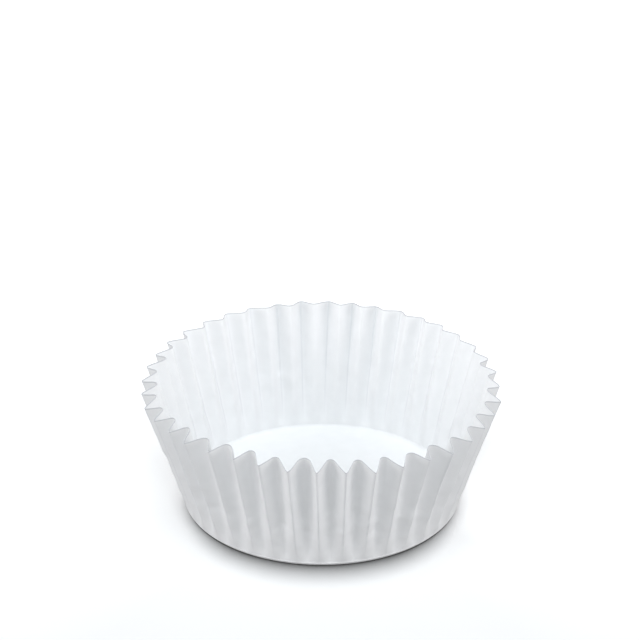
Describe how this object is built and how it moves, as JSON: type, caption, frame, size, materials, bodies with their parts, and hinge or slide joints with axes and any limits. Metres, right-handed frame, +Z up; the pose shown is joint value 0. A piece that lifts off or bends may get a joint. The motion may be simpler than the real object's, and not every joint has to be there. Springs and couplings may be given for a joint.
{
  "type": "cupcake liner",
  "caption": "White paper baking cup with a flat round floor and a flared wall of sharp outward and round inward flutes, made to line a muffin tin.",
  "frame": {"origin": "centre of the underside of the cup's floor", "axes": "+Z up, out of the cup's mouth; +X and +Y each point at an outward fold of the rim"},
  "size_m": [0.0648, 0.0648, 0.0238],
  "materials": {
    "paper": "matte"
  },
  "bodies": {
    "root": {"liner": "paper"}
  },
  "joints": []
}
